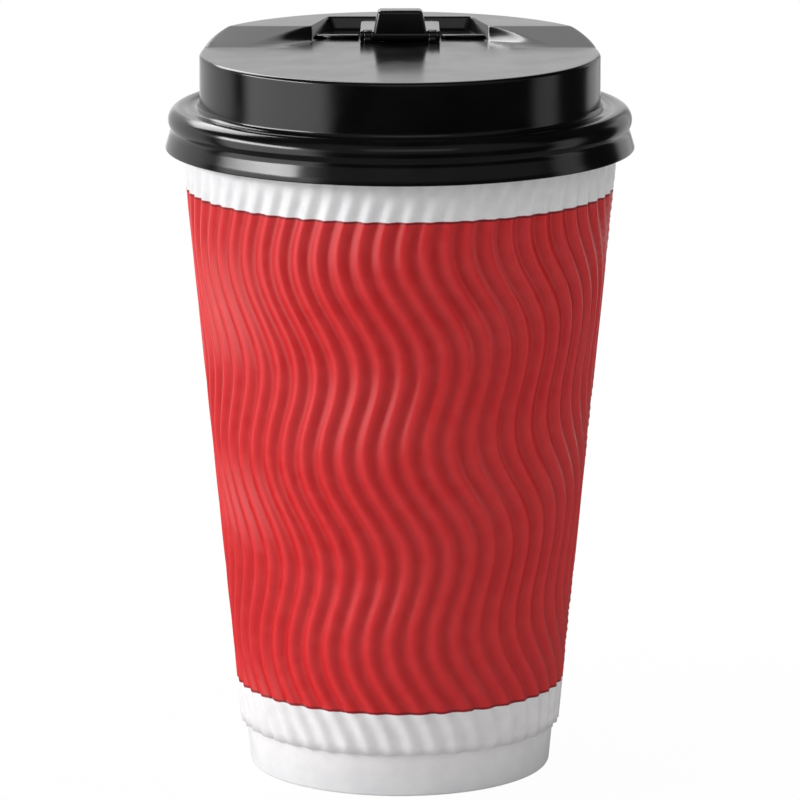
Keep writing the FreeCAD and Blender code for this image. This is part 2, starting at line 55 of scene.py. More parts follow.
Colour = tuple[float, float, float, float]
BMesh = bmesh.types.BMesh
BMEdge = bmesh.types.BMEdge
NodeSocket = bpy.types.NodeSocket
Number = Union[NodeSocket, float]
Paint = Union[NodeSocket, Colour]

log = logging.getLogger("cup")


class Body(Enum):
    """The bodies that pieces ride on."""

    CUP = "cup"
    TAB = "tab"


class Slot(Enum):
    """The record's material slots."""

    BOARD = "cup_board"
    WRAP = "sleeve_paper"
    PLASTIC = "lid_plastic"


def smooth_rise(low: float, high: float, value: float) -> float:
    """Rise smoothly from 0 at low to 1 at high."""
    share = min(max((value - low) / (high - low), 0.0), 1.0)
    return share * share * (3 - 2 * share)


def soft_min(one: float, two: float, round_by: float) -> float:
    """Lower of two heights, rounded where they cross."""
    near = max(round_by - abs(one - two), 0.0)
    return min(one, two) - near * near / (4 * max(round_by, MERGE))


def soft_max(one: float, two: float, round_by: float) -> float:
    """Higher of two heights, rounded where they cross."""
    return -soft_min(-one, -two, round_by)


def arc(centre: Point, radius: float, start: float, end: float, steps: int) -> list[Point]:
    """Points along an arc.

    Args:
        centre: Radius and height of the arc's centre.
        radius: Radius of the arc.
        start: Angle of the first point in degrees, 0 outwards and 90 upwards.
        end: Angle of the last point in degrees.
        steps: Number of runs between the points.

    Returns:
        The points, both ends included.
    """
    angles = [math.radians(start + (end - start) * step / steps) for step in range(steps + 1)]
    return [(centre[0] + radius * math.cos(a), centre[1] + radius * math.sin(a)) for a in angles]


def run(start: Point, end: Point, steps: int) -> list[Point]:
    """Points between the ends of a straight run of equal steps, with neither end."""
    shares = [step / steps for step in range(1, steps)]
    return [(start[0] + (end[0] - start[0]) * s, start[1] + (end[1] - start[1]) * s) for s in shares]


def spin_outline(outline: Sequence[Point], columns: int, closed: bool, turn: float = 0.0) -> BMesh:
    """Spin an outline once round the Z axis.

    Args:
        outline: (radius, height) points.
        columns: Number of steps round the axis, a multiple of SECTORS.
        closed: Whether the last point joins the first.
        turn: Polar angle at which the spin starts, in radians.

    Returns:
        A mesh with its seam and poles merged and its faces outwards.
    """
    mesh = bmesh.new()
    verts = [mesh.verts.new((r * math.cos(turn), r * math.sin(turn), z)) for r, z in outline]
    edges = [mesh.edges.new(pair) for pair in zip(verts, verts[1:])]
    if closed:
        edges.append(mesh.edges.new((verts[-1], verts[0])))
    sector = 2 * math.pi / SECTORS
    bmesh.ops.spin(mesh, geom=verts + edges, cent=(0, 0, 0), axis=(0, 0, 1), angle=sector,
                   steps=columns // SECTORS)
    first = mesh.verts[:] + mesh.edges[:] + mesh.faces[:]
    for step in range(1, SECTORS):
        copy = bmesh.ops.duplicate(mesh, geom=first)["geom"]
        bmesh.ops.rotate(mesh, cent=(0, 0, 0), matrix=Matrix.Rotation(sector * step, 3, "Z"),
                         verts=[item for item in copy if isinstance(item, bmesh.types.BMVert)])
    bmesh.ops.remove_doubles(mesh, verts=mesh.verts, dist=MERGE)
    bmesh.ops.recalc_face_normals(mesh, faces=mesh.faces)
    return mesh


def block(size: Sequence[float], middle: Sequence[float]) -> BMesh:
    """Upright box of a size about a middle."""
    mesh = bmesh.new()
    bmesh.ops.create_cube(mesh, size=1.0)
    bmesh.ops.scale(mesh, vec=size, verts=mesh.verts)
    bmesh.ops.translate(mesh, vec=middle, verts=mesh.verts)
    return mesh


def slab(outline: Sequence[Point], low: float, high: float) -> BMesh:
    """Flat slab from low to high, with (x, y) corners counter-clockwise from above."""
    mesh = bmesh.new()
    face = mesh.faces.new([mesh.verts.new((x, y, low)) for x, y in outline])
    raised = bmesh.ops.extrude_face_region(mesh, geom=[face])["geom"]
    bmesh.ops.translate(mesh, vec=(0, 0, high - low),
                        verts=[item for item in raised if isinstance(item, bmesh.types.BMVert)])
    bmesh.ops.recalc_face_normals(mesh, faces=mesh.faces)
    return mesh


def rod(radius: float, length: float, middle: Vector, round_by: float, sides: int = 48) -> BMesh:
    """Round rod along X with softened ends.

    Args:
        radius: Radius of the rod.
        length: Length from end to end.
        middle: Middle of its axis.
        round_by: Radius of its end edges.
        sides: Number of sides.

    Returns:
        The rod's mesh.
    """
    mesh = bmesh.new()
    bmesh.ops.create_cone(mesh, cap_ends=True, segments=sides, radius1=radius, radius2=radius, depth=length)
    soften(mesh, round_by, steps=3, chosen=lambda edge: edge.calc_face_angle(0) > SHARP)
    bmesh.ops.rotate(mesh, cent=(0, 0, 0), matrix=Matrix.Rotation(math.pi / 2, 3, "Y"), verts=mesh.verts)
    bmesh.ops.translate(mesh, vec=middle, verts=mesh.verts)
    return mesh


def soften(mesh: BMesh, radius: float, steps: int, chosen: Callable[[BMEdge], bool]) -> None:
    """Round the chosen edges.

    Args:
        mesh: Mesh to change.
        radius: Radius of the rounding.
        steps: Number of faces across it.
        chosen: Says of an edge whether it is rounded.
    """
    edges = [edge for edge in mesh.edges if chosen(edge)]
    bmesh.ops.bevel(mesh, geom=edges, offset=radius, offset_type="OFFSET", affect="EDGES", segments=steps,
                    profile=0.5, material=-1, clamp_overlap=True)


def split_faces(mesh: BMesh, faces: list[bmesh.types.BMFace], place: Vector,
                away: Vector) -> list[bmesh.types.BMFace]:
    """Cut faces along a plane.

    Args:
        mesh: Mesh that the faces belong to.
        faces: The faces.
        place: A point of the plane.
        away: Direction square to the plane.

    Returns:
        The faces on both sides of the cut.
    """
    parts = list({vert for face in faces for vert in face.verts})
    parts += list({edge for face in faces for edge in face.edges}) + faces
    cut = bmesh.ops.bisect_plane(mesh, geom=parts, dist=ON_PLANE, plane_co=place, plane_no=away)
    return [item for item in cut["geom"] if isinstance(item, bmesh.types.BMFace)]


def upright(edge: BMEdge) -> bool:
    """Whether an edge runs mostly along Z."""
    span = edge.verts[0].co - edge.verts[1].co
    return abs(span.z) > 2 * math.hypot(span.x, span.y)


def join(meshes: Iterable[BMesh]) -> BMesh:
    """Gather several meshes in one."""
    gathered = bmesh.new()
    for mesh in meshes:
        data = bpy.data.meshes.new("part")
        mesh.to_mesh(data)
        mesh.free()
        gathered.from_mesh(data)
        bpy.data.meshes.remove(data)
    return gathered


def add_object(name: str, mesh: BMesh, material: bpy.types.Material) -> bpy.types.Object:
    """Put a mesh, which is used up, in the scene as an object."""
    data = bpy.data.meshes.new(name)
    mesh.to_mesh(data)
    mesh.free()
    data.materials.append(material)
    new_object = bpy.data.objects.new(name, data)
    bpy.context.scene.collection.objects.link(new_object)
    return new_object


def make_piece(name: str, mesh: BMesh, body: Body, node: str,
               material: bpy.types.Material, sharp_from: float = 35.0) -> bpy.types.Object:
    """Turn a mesh into a piece of the cup.

    Args:
        name: Name of the piece.
        mesh: Its mesh, which is used up.
        body: Body that it rides on.
        node: CAD node that it stands for.
        material: Its finish.
        sharp_from: Angle in degrees above which an edge stays sharp.

    Returns:
        The new object.
    """
    piece = add_object(name, mesh, material)
    piece.data.shade_smooth()
    piece.data.set_sharp_from_angle(angle=math.radians(sharp_from))
    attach(piece, body.value)
    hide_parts(node)
    log.info("%s: %d faces", name, len(piece.data.polygons))
    return piece


class Wiring:
    """A node tree that is being wired."""

    def __init__(self, tree: bpy.types.NodeTree) -> None:
        """Start on a tree with no nodes."""
        self.tree = tree
        tree.nodes.clear()

    def add(self, kind: str, **settings: object) -> bpy.types.Node:
        """Add a node and set its properties."""
        node = self.tree.nodes.new(kind)
        for name, setting in settings.items():
            setattr(node, name, setting)
        return node

    def feed(self, socket: NodeSocket, source: Union[Number, Paint]) -> None:
        """Give a socket a link or a plain value."""
        if isinstance(source, NodeSocket):
            self.tree.links.new(source, socket)
        else:
            socket.default_value = source

    def calc(self, operation: str, one: Number, two: Number = 0.0) -> NodeSocket:
        """Combine two numbers by a math node."""
        node = self.add("ShaderNodeMath", operation=operation)
        self.feed(node.inputs[0], one)
        self.feed(node.inputs[1], two)
        return node.outputs[0]

    def vector(self, operation: str, one: NodeSocket,
               two: Sequence[float] = (0.0, 0.0, 0.0)) -> bpy.types.NodeOutputs:
        """Outputs of a vector math node on a vector and a fixed one."""
        node = self.add("ShaderNodeVectorMath", operation=operation)
        self.feed(node.inputs[0], one)
        node.inputs[1].default_value = two
        return node.outputs

    def rise(self, value: Number, low: float, high: float, to_low: float = 0.0,
             to_high: float = 1.0) -> NodeSocket:
        """Map a number smoothly from one range to another.

        Args:
            value: The number.
            low: Where the rise starts.
            high: Where it ends.
            to_low: Result at low and below.
            to_high: Result at high and above.

        Returns:
            The result's socket.
        """
        node = self.add("ShaderNodeMapRange", interpolation_type="SMOOTHSTEP")
        for name, source in (("Value", value), ("From Min", low), ("From Max", high),
                             ("To Min", to_low), ("To Max", to_high)):
            self.feed(node.inputs[name], source)
        return node.outputs["Result"]

    def blend(self, share: Number, one: Paint, two: Paint) -> NodeSocket:
        """Mix two colours by a share."""
        node = self.add("ShaderNodeMix", data_type="RGBA")
        sockets = {socket.identifier: socket for socket in node.inputs}
        self.feed(sockets["Factor_Float"], share)
        self.feed(sockets["A_Color"], one)
        self.feed(sockets["B_Color"], two)
        return next(socket for socket in node.outputs if socket.identifier == "Result_Color")

    def noise(self, place: NodeSocket, scale: Number, detail: float) -> NodeSocket:
        """Noise at a scale."""
        node = self.add("ShaderNodeTexNoise")
        self.feed(node.inputs["Vector"], place)
        self.feed(node.inputs["Scale"], scale)
        self.feed(node.inputs["Detail"], detail)
        return node.outputs["Fac"]

    def place(self) -> NodeSocket:
        """Object coordinates."""
        return self.add("ShaderNodeTexCoord").outputs["Object"]


def grain_group() -> bpy.types.NodeTree:
    """Node group of the fine grain of every finish: its soft blotches and its relief."""
    existing = bpy.data.node_groups.get("surface_grain")
    if existing:
        return existing
    mottle_low, mottle_high = 0.3, 0.7
    mottle_share = 0.6
    group = bpy.data.node_groups.new("surface_grain", "ShaderNodeTree")
    for name, kind in (("Vector", "NodeSocketVector"), ("Mottle Scale", "NodeSocketFloat"),
                       ("Grain Scale", "NodeSocketFloat")):
        group.interface.new_socket(name, in_out="INPUT", socket_type=kind)
    for name in ("Mottle", "Height"):
        group.interface.new_socket(name, in_out="OUTPUT", socket_type="NodeSocketFloat")
    wiring = Wiring(group)
    source = wiring.add("NodeGroupInput")
    target = wiring.add("NodeGroupOutput")
    mottle = wiring.noise(source.outputs["Vector"], source.outputs["Mottle Scale"], detail=3.0)
    grain = wiring.noise(source.outputs["Vector"], source.outputs["Grain Scale"], detail=6.0)
    height = wiring.calc("ADD", wiring.calc("MULTIPLY", mottle, mottle_share),
                         wiring.calc("MULTIPLY", grain, 1 - mottle_share))
    wiring.feed(target.inputs["Mottle"], wiring.rise(mottle, mottle_low, mottle_high))
    wiring.feed(target.inputs["Height"], height)
    return group


@dataclass(frozen=True)
class Finish:
    """What every finish of the cup has: two tones, gloss, grain and relief."""

    name: str
    roughness: Span
    mottle_scale: float
    grain_scale: float
    relief: float
    relief_strength: float
    dull: Colour
    bright: Colour
    gloss: float = 0.5

    def colour(self, wiring: Wiring, place: NodeSocket, mottle: NodeSocket) -> NodeSocket:
        """Wire the base colour, here two tones in soft blotches.

        Args:
            wiring: Where the nodes go.
            place: Object coordinates.
            mottle: Blotches, 0 to 1.

        Returns:
            The colour's socket.
        """
        return wiring.blend(mottle, self.dull, self.bright)

    def material(self) -> bpy.types.Material:
        """Build the material, with its roughness and relief from the shared grain."""
        material = bpy.data.materials.new(self.name)
        material.use_nodes = True
        wiring = Wiring(material.node_tree)
        shader = wiring.add("ShaderNodeBsdfPrincipled")
        output = wiring.add("ShaderNodeOutputMaterial")
        wiring.feed(output.inputs["Surface"], shader.outputs["BSDF"])
        place = wiring.place()
        grain = wiring.add("ShaderNodeGroup", node_tree=grain_group())
        wiring.feed(grain.inputs["Vector"], place)
        wiring.feed(grain.inputs["Mottle Scale"], self.mottle_scale)
        wiring.feed(grain.inputs["Grain Scale"], self.grain_scale)
        mottle = grain.outputs["Mottle"]
        bump = wiring.add("ShaderNodeBump")
        wiring.feed(bump.inputs["Strength"], self.relief_strength)
        wiring.feed(bump.inputs["Distance"], self.relief)
        wiring.feed(bump.inputs["Height"], grain.outputs["Height"])
        wiring.feed(shader.inputs["Normal"], bump.outputs["Normal"])
        wiring.feed(shader.inputs["Roughness"], wiring.rise(mottle, 0.0, 1.0, *self.roughness))
        wiring.feed(shader.inputs["Specular IOR Level"], self.gloss)
        wiring.feed(shader.inputs["Base Color"], self.colour(wiring, place, mottle))
        return material


@dataclass(frozen=True)
class CoatedBoard(Finish):
    """Smooth white cup board with a thin waterproof film."""

    name: str = "white_cup_board"
    roughness: Span = (0.38, 0.46)
    mottle_scale: float = 260.0
    grain_scale: float = 2600.0
    relief: float = 0.02 * MM
    relief_strength: float = 0.35
    dull: Colour = (0.83, 0.83, 0.845, 1.0)
    bright: Colour = (0.88, 0.88, 0.885, 1.0)


@dataclass(frozen=True)
class PrintedRipple(Finish):
    """Fluted paper, white with a band of red print whose edges are slightly uneven."""

    name: str = "printed_ripple_paper"
    roughness: Span = (0.32, 0.40)
    mottle_scale: float = 300.0
    grain_scale: float = 2200.0
    relief: float = 0.03 * MM
    relief_strength: float = 0.4
    dull: Colour = (0.82, 0.82, 0.835, 1.0)
    bright: Colour = (0.88, 0.88, 0.89, 1.0)
    gloss: float = 0.75
    band_bottom: float = 17.4 * MM
    band_top: float = 118.1 * MM
    edge_soft: float = 0.06 * MM
    edge_wander: float = 0.3 * MM
    edge_scale: float = 700.0
    line_width: float = 0.3 * MM
    line_core: float = 0.2
    line_strength: float = 0.8
    # Painted shade: the ink takes this share of its tone from the flutes' crest value, shaded red in the
    # valleys and lit red on the crests.
    crest_shade_share: float = 0.8
    ink_shaded_valley: Colour = (0.53, 0.002, 0.005, 1.0)
    ink_lit_crest: Colour = (0.73, 0.010, 0.014, 1.0)
    ink_edge: Colour = (0.07, 0.004, 0.012, 1.0)

    def print_masks(self, wiring: Wiring, place: NodeSocket) -> tuple[NodeSocket, NodeSocket]:
        """Masks of the printed band and of the darker line just inside each of its edges."""
        split = wiring.add("ShaderNodeSeparateXYZ")
        wiring.feed(split.inputs["Vector"], place)
        wander = wiring.calc("SUBTRACT", wiring.noise(place, self.edge_scale, detail=2.0), 0.5)
        level = wiring.calc("ADD", split.outputs["Z"], wiring.calc("MULTIPLY", wander, self.edge_wander))
        soft = self.edge_soft
        above = wiring.rise(level, self.band_bottom - soft, self.band_bottom + soft)
        below = wiring.rise(level, self.band_top - soft, self.band_top + soft, 1.0, 0.0)
        band = wiring.calc("MULTIPLY", above, below)
        lines = []
        for middle in (self.band_bottom + self.line_width, self.band_top - self.line_width):
            away = wiring.calc("ABSOLUTE", wiring.calc("SUBTRACT", level, middle))
            lines.append(wiring.rise(away, self.line_core * self.line_width, self.line_width, 1.0, 0.0))
        return band, wiring.calc("MULTIPLY", wiring.calc("MAXIMUM", *lines), band)

    def colour(self, wiring: Wiring, place: NodeSocket, mottle: NodeSocket) -> NodeSocket:
        """Wire the paper's white and the print, with painted shade that darkens the ink in the flutes' valleys
        and lightens it on their crests.
        """
        band, line = self.print_masks(wiring, place)
        crest = wiring.add("ShaderNodeAttribute", attribute_name="crest").outputs["Fac"]
        # Painted shade and light: the ink is darker in the flutes' valleys and lighter on their crests, mixed
        # with some random mottle.
        shade_and_mottle = wiring.calc("ADD", wiring.calc("MULTIPLY", crest, self.crest_shade_share),
                           wiring.calc("MULTIPLY", mottle, 1 - self.crest_shade_share))
        paper = super().colour(wiring, place, mottle)
        inked = wiring.blend(band, paper, wiring.blend(shade_and_mottle, self.ink_shaded_valley, self.ink_lit_crest))
        return wiring.blend(wiring.calc("MULTIPLY", line, self.line_strength), inked, self.ink_edge)


@dataclass(frozen=True)
class GlossPlastic(Finish):
    """Thermoformed black plastic with a faintly wavy gloss."""

    name: str = "gloss_black_plastic"
    roughness: Span = (0.14, 0.19)
    mottle_scale: float = 90.0
    grain_scale: float = 1500.0
    relief: float = 0.01 * MM
    relief_strength: float = 0.25
    dull: Colour = (0.0018, 0.0018, 0.002, 1.0)
    bright: Colour = (0.0035, 0.0035, 0.004, 1.0)


@dataclass
class Cone:
    """The cup's outer cone, which wall, base and wrap share."""

    height: float = 133.7 * MM
    base_radius: float = 30.2 * MM
    neck_radius: float = 42.9 * MM
    paper: float = 0.4 * MM
    roll_radius: float = 1.3 * MM

    @property
    def roll_level(self) -> float:
        """Height at which the wall turns into the brim's roll."""
        return self.height - self.roll_radius

    @property
    def taper(self) -> float:
        """Growth of the radius per height."""
        return (self.neck_radius - self.base_radius) / self.roll_level

    def radius(self, level: float, inset: float = 0.0) -> float:
        """Radius at a height, less an inset."""
        return self.base_radius + self.taper * level - inset


@dataclass
class PaperCup:
    """Sidewall with its hem and rolled brim, and the base disc in the hem."""

    cone: Cone
    curl_end: float = -120.0
    fold_radius: float = 0.6 * MM
    hem_height: float = 7.6 * MM
    base_paper: float = 0.35 * MM
    base_recess: float = 8.8 * MM
    glue_gap: float = 0.04 * MM
    columns: int = 256
    wall_rows: int = 12

    def wall_outline(self) -> list[Point]:
        """Closed outline of the sidewall as (radius, height) points, outside first."""
        cone, paper = self.cone, self.cone.paper
        roll = (cone.neck_radius - paper + cone.roll_radius, cone.roll_level)
        hem = 2 * paper + self.base_paper + 2 * self.glue_gap
        fold = (cone.base_radius - self.fold_radius, self.fold_radius)
        fold_top = (cone.radius(self.fold_radius), self.fold_radius)
        outside = arc(fold, self.fold_radius, -90, 0, steps=5)[:-1]
        outside += [fold_top] + run(fold_top, (cone.neck_radius, cone.roll_level), self.wall_rows)
        roll_inside = arc(roll, cone.roll_radius - paper, 180, self.curl_end, steps=20)
        roll_outside = arc(roll, cone.roll_radius, self.curl_end, 180, steps=24)
        inside = [
            (cone.radius(paper, paper), paper),
            (cone.radius(paper, hem - paper), paper),
            (cone.radius(self.hem_height, hem - paper), self.hem_height),
            (cone.radius(self.hem_height, hem), self.hem_height),
            (cone.base_radius - hem, 0.0),
        ]
        return outside + roll_inside + roll_outside + inside

    def base_outline(self) -> list[Point]:
        """Closed (radius, height) outline of the base disc and its flange."""
        cone = self.cone
        top = self.base_recess + self.base_paper
        edge = cone.paper + self.glue_gap
        return [
            (0.0, self.base_recess),
            (cone.radius(self.base_recess, edge + self.base_paper), self.base_recess),
            (cone.radius(cone.paper, edge + self.base_paper), cone.paper),
            (cone.radius(cone.paper, edge), cone.paper),
            (cone.radius(top, edge), top),
            (0.0, top),
        ]

    def build(self, board: bpy.types.Material) -> None:
        """Build wall and base in their finish."""
        wall = spin_outline(self.wall_outline(), self.columns, closed=True)
        make_piece("board_wall", wall, Body.CUP, "cup_wall", board)
        base = spin_outline(self.base_outline(), self.columns // 2, closed=True)
        make_piece("board_base", base, Body.CUP, "cup_base", board)


@dataclass
class RippleWrap:
    """Outer wrap of fluted paper, whose flutes are parallel S-curves on the flat sheet.

    The sheet is the sector of a ring. A point of the cone lies on it at its slant
    distance from the cone's tip, at its turn from the middle of the sheet, flattened.
    """

    cone: Cone
    bottom: float = 8.9 * MM
    brim_gap: float = 2.6 * MM
    gap: float = 0.12 * MM
    sheet: float = 0.32 * MM
    flute_depth: float = 0.75 * MM
    flute_pitch: float = 4.241 * MM
    flute_start: float = 1.31 * MM
    wave_length: float = 39.79 * MM
    wave_swing: float = 2.852 * MM
    wave_start: float = 9.57 * MM
    sheet_middle: float = math.radians(-167.6)
    seam_margin: float = 3.0 * MM
    seam_ease: float = 30.0 * MM
    smooth_top: float = 3.5 * MM
    fade_top: float = 6.0 * MM
    sharp_from: float = 75.0
    columns: int = 800
    rows: int = 60

    def __post_init__(self) -> None:
        """Work out the flat sheet's measures."""
        self.sine = self.cone.taper / math.hypot(1, self.cone.taper)
        self.middle = self.cone.radius(self.cone.height / 2) / self.sine
        self.half = math.pi * self.sine
        self.top = self.cone.roll_level - self.brim_gap
        self.ripple_top = self.top - self.smooth_top

    def wave(self, along: float) -> float:
        """Sideways swing of the flutes at a place along the sheet."""
        return self.wave_swing * math.sin(2 * math.pi * (along - self.wave_start) / self.wave_length)

    def settle(self, turn: float, level: float) -> tuple[Vector, float]:
        """Place a point of the plain cone on the rippled surface.

        Args:
            turn: Polar angle of the point.
            level: Its height.

        Returns:
            The new place, and 0 in a valley to 1 on a crest.
        """
        slant = self.cone.radius(level) / self.sine
        flat = ((turn - self.sheet_middle + math.pi) % (2 * math.pi) - math.pi) * self.sine
        from_seam = (self.half - abs(flat)) * slant
        ease = smooth_rise(0.0, self.seam_ease, from_seam)
        swing = self.wave(slant * math.cos(flat) - self.middle) * ease
        flat = math.asin(math.sin(flat) + swing / slant)
        across = slant * math.sin(flat) - self.wave(slant * math.cos(flat) - self.middle)
        phase = 2 * math.pi * (across - self.flute_start) / self.flute_pitch
        fullness = smooth_rise(0.0, self.seam_margin, from_seam)
        fullness *= smooth_rise(self.ripple_top, self.ripple_top - self.fade_top, level)
        crest = 0.5 - 0.5 * math.cos(phase) * fullness
        radius = self.cone.radius(level) + self.gap + self.flute_depth * crest + self.sheet
        turned = self.sheet_middle + flat / self.sine
        return Vector((radius * math.cos(turned), radius * math.sin(turned), level)), crest

    def build(self, paper: bpy.types.Material) -> None:
        """Build the wrap in its finish."""
        bottom = (self.cone.radius(self.bottom), self.bottom)
        top = (self.cone.radius(self.top), self.top)
        seam_turn = self.sheet_middle + math.pi
        mesh = spin_outline([bottom] + run(bottom, top, self.rows) + [top], self.columns, False, seam_turn)
        crests = mesh.verts.layers.float.new("crest")
        for vert in mesh.verts:
            vert.co, vert[crests] = self.settle(math.atan2(vert.co.y, vert.co.x), vert.co.z)
        if sum(face.normal.dot(face.calc_center_median()) for face in mesh.faces) < 0:
            bmesh.ops.reverse_faces(mesh, faces=mesh.faces)
        piece = make_piece("ripple_wrap", mesh, Body.CUP, "ripple_sleeve", paper,
                           self.sharp_from)
        wall = piece.modifiers.new("sheet", "SOLIDIFY")
        wall.thickness = self.sheet
        wall.offset = -1.0


@dataclass
class LidSizes:
    """Levels and radii that the lid and its tab share."""

    cone: Cone
    wall: float = 0.55 * MM
    seat_gap: float = 0.1 * MM
    dome_radius: float = 39.9 * MM
    dome_rise: float = 10.5 * MM
    axle_at: float = 14.0 * MM
    axle_lift: float = 1.2 * MM
    axle_radius: float = 0.55 * MM
    lug_inside: float = 5.8 * MM
    lug_width: float = 1.4 * MM
    lug_radius: float = 1.1 * MM
    lug_gap: float = 0.15 * MM
    tab_width: float = 16.0 * MM
    plug_length: float = 9.0 * MM
    plug_width: float = 4.4 * MM
    plug_at: float = 24.5 * MM
    plug_gap: float = 0.15 * MM

    @property
    def ledge(self) -> float:
        """Height of the skirt's top, which sits on the brim."""
        return self.cone.height + self.seat_gap + self.wall

    @property
    def deck(self) -> float:
        """Height of the front deck."""
        return self.ledge + self.dome_rise

    @property
    def notch(self) -> Span:
        """Where a lug's notch in the tab begins and ends, from the middle outwards."""
        return self.lug_inside - self.lug_gap, self.lug_inside + self.lug_width + self.lug_gap

    @property
    def axle_level(self) -> float:
        """Height of the hinge's axis."""
        return self.deck + self.axle_lift


@dataclass
class PressOnLid:
    """Moulded lid: skirt, snap neck, dome, raised rear deck with its recess, lugs, sip opening."""

    sizes: LidSizes
    skirt_drop: float = 8.5 * MM
    lip_radius: float = 46.75 * MM
    lip_round: float = 0.3 * MM
    bead_radius: float = 46.2 * MM
    bead_round: float = 2.7 * MM
    neck_inset: float = 0.6 * MM
    gutter_depth: float = 0.5 * MM
    dome_root: float = 1.2 * MM
    rim_round: float = 0.8 * MM
    inner_rim_round: float = 0.3 * MM
    back_rise: float = 2.5 * MM
    crease: float = 6.0 * MM
    slope_end: float = 18.9 * MM
    dish_forward: float = 6.0 * MM
    dish_radius: float = 27.0 * MM
    dish_bank: float = 3.7 * MM
    slot_middle: float = 21.5 * MM
    slot_back: float = 13.6 * MM
    slot_end: float = 31.0 * MM
    slot_draft: float = math.radians(25)
    rib_at: float = 18.2 * MM
    rib_depth: float = 2.0 * MM
    rib_height: float = 0.73 * MM
    rib_gap: float = 0.3 * MM
    rib_end: float = 16.9 * MM
    rib_round: float = 0.2 * MM
    lug_round: float = 0.15 * MM
    crease_soft: float = 0.08 * MM
    brow_soft: float = 0.4 * MM
    foot_soft: float = 0.35 * MM
    corner_soft: float = 0.8 * MM
    columns: int = 480
    deck_rings: int = 84
    inner_deck_rings: int = 6
    wall_rows: int = 6
    opening_sides: int = 24
    probe: float = 0.05 * MM
    score: float = 0.18 * MM
    least_normal: float = 0.3

    def outline(self, inset: float, rim_round: float, deck_rings: int) -> list[Point]:
        """Outline of one side of the lid's wall, from the lip to the middle of the deck.

        Args:
            inset: How far it lies inside the outer surface.
            rim_round: Radius of the deck's edge.
            deck_rings: Number of rings across the deck.

        Returns:
            (radius, height) points.
        """
        sizes = self.sizes
        skirt = sizes.ledge - self.skirt_drop
        ring = self.bead_round - inset
        bead = (self.bead_radius - self.bead_round, sizes.ledge - self.bead_round)
        neck = self.bead_radius - self.neck_inset - inset
        gutter = sizes.ledge - self.gutter_depth - inset
        root = self.dome_root + inset
        wall = sizes.dome_radius - inset
        top = sizes.deck - inset
        low = math.degrees(-math.acos((neck - bead[0]) / ring))
        high = 180 - math.degrees(math.asin((gutter - bead[1]) / ring))
        lip_centre = (self.lip_radius - inset - self.lip_round, skirt + self.lip_round)
        lip = arc(lip_centre, self.lip_round, -90, 0, steps=4)
        bulge = arc(bead, ring, low, high, steps=20)
        foot = arc((wall + root, gutter + root), root, 270, 180, steps=7)
        rim = arc((wall - rim_round, top - rim_round), rim_round, 0, 90, steps=7)
        points = lip + run(lip[-1], bulge[0], steps=4) + bulge + foot
        points += run(foot[-1], rim[0], self.wall_rows) + rim
        return points + run(rim[-1], (0.0, top), deck_rings) + [(0.0, top)]

    def relief(self, x: float, y: float) -> float:
        """Height of the rear deck and its recess above the front deck.

        Args:
            x: Place across the lid.
            y: Place along the lid, positive towards the back.

        Returns:
            The height, with moulded roundings.
        """
        slope = self.back_rise / (self.slope_end - self.crease)
        ramp = soft_min(soft_max(slope * (y - self.crease), 0.0, self.crease_soft), self.back_rise,
                        self.crease_soft)
        dish = ramp * (math.hypot(x, y + self.dish_forward) - self.dish_radius) / self.dish_bank
        lean = self.slot_back - self.slot_middle
        side = ((abs(x) - self.slot_middle) * self.slot_end - y * lean) / math.hypot(lean, self.slot_end)
        slot = soft_max(side, y - self.slot_end, self.corner_soft) / math.tan(self.slot_draft)
        bank = soft_min(dish, ramp, min(self.brow_soft, ramp))
        return soft_max(soft_min(bank, slot, min(self.brow_soft, ramp)), 0.0, min(self.foot_soft, ramp))

    def opening_corners(self) -> list[Vector]:
        """Corners of the sip opening's outline, counter-clockwise from above."""
        sizes = self.sizes
        radius = sizes.plug_width / 2 + sizes.plug_gap
        half = sizes.plug_length / 2 - sizes.plug_width / 2
        corners = []
        for step in range(self.opening_sides):
            angle = 2 * math.pi * (step + 0.5) / self.opening_sides - math.pi / 2
            x = math.copysign(half, math.cos(angle)) + radius * math.cos(angle)
            corners.append(Vector((x, sizes.plug_at + radius * math.sin(angle), 0)))
        return corners

    def cut_opening(self, mesh: BMesh, level: float) -> list[BMEdge]:
        """Cut the sip opening in the flat faces at a level, and return the edges round it."""
        centre = Vector((0, self.sizes.plug_at, level))
        near = self.sizes.plug_length
        inside = [face for face in mesh.faces
                  if abs(face.verts[0].co.z - level) < MERGE
                  and min((vert.co - centre).length for vert in face.verts) < near]
        corners = self.opening_corners()
        for start, end in zip(corners, corners[1:] + corners[:1]):
            away = Vector((end.y - start.y, start.x - end.x, 0)).normalized()
            inside = [face for face in split_faces(mesh, inside, start, away)
                      if (face.calc_center_median() - start).dot(away) < 0]
        kept = set(inside)
        rim = [edge for edge in {edge for face in inside for edge in face.edges}
               if sum(face in kept for face in edge.link_faces) == 1]
        bmesh.ops.delete(mesh, geom=inside, context="FACES")
        return [edge for edge in rim if edge.is_valid]

    def score_slot(self, mesh: BMesh) -> None:
        """Cut lines in the still flat deck along the foot and the brow of the slot's walls."""
        level = self.sizes.deck
        reach = self.back_rise * math.tan(self.slot_draft)
        back = self.slot_end + 3 * reach
        lean = Vector((self.slot_end, self.slot_middle - self.slot_back, 0)).normalized()
        offsets = [at + shift for at in (0.0, reach) for shift in (-self.score, 0.0, self.score)]
        cuts = [(Vector((side * self.slot_middle, 0, level)) + Vector((side * lean.x, lean.y, 0)) * offset,
                 Vector((side * lean.x, lean.y, 0))) for side in (1, -1) for offset in offsets]
        cuts += [(Vector((0, self.slot_end + offset, level)), Vector((0, 1, 0))) for offset in offsets]
        for place, away in cuts:
            faces = [face for face in mesh.faces
                     if abs(face.verts[0].co.z - level) < MERGE and face.normal.z > 0
                     and abs(face.verts[0].co.x) < self.slot_middle
                     and self.crease < face.verts[0].co.y < back]
            split_faces(mesh, faces, place, away)

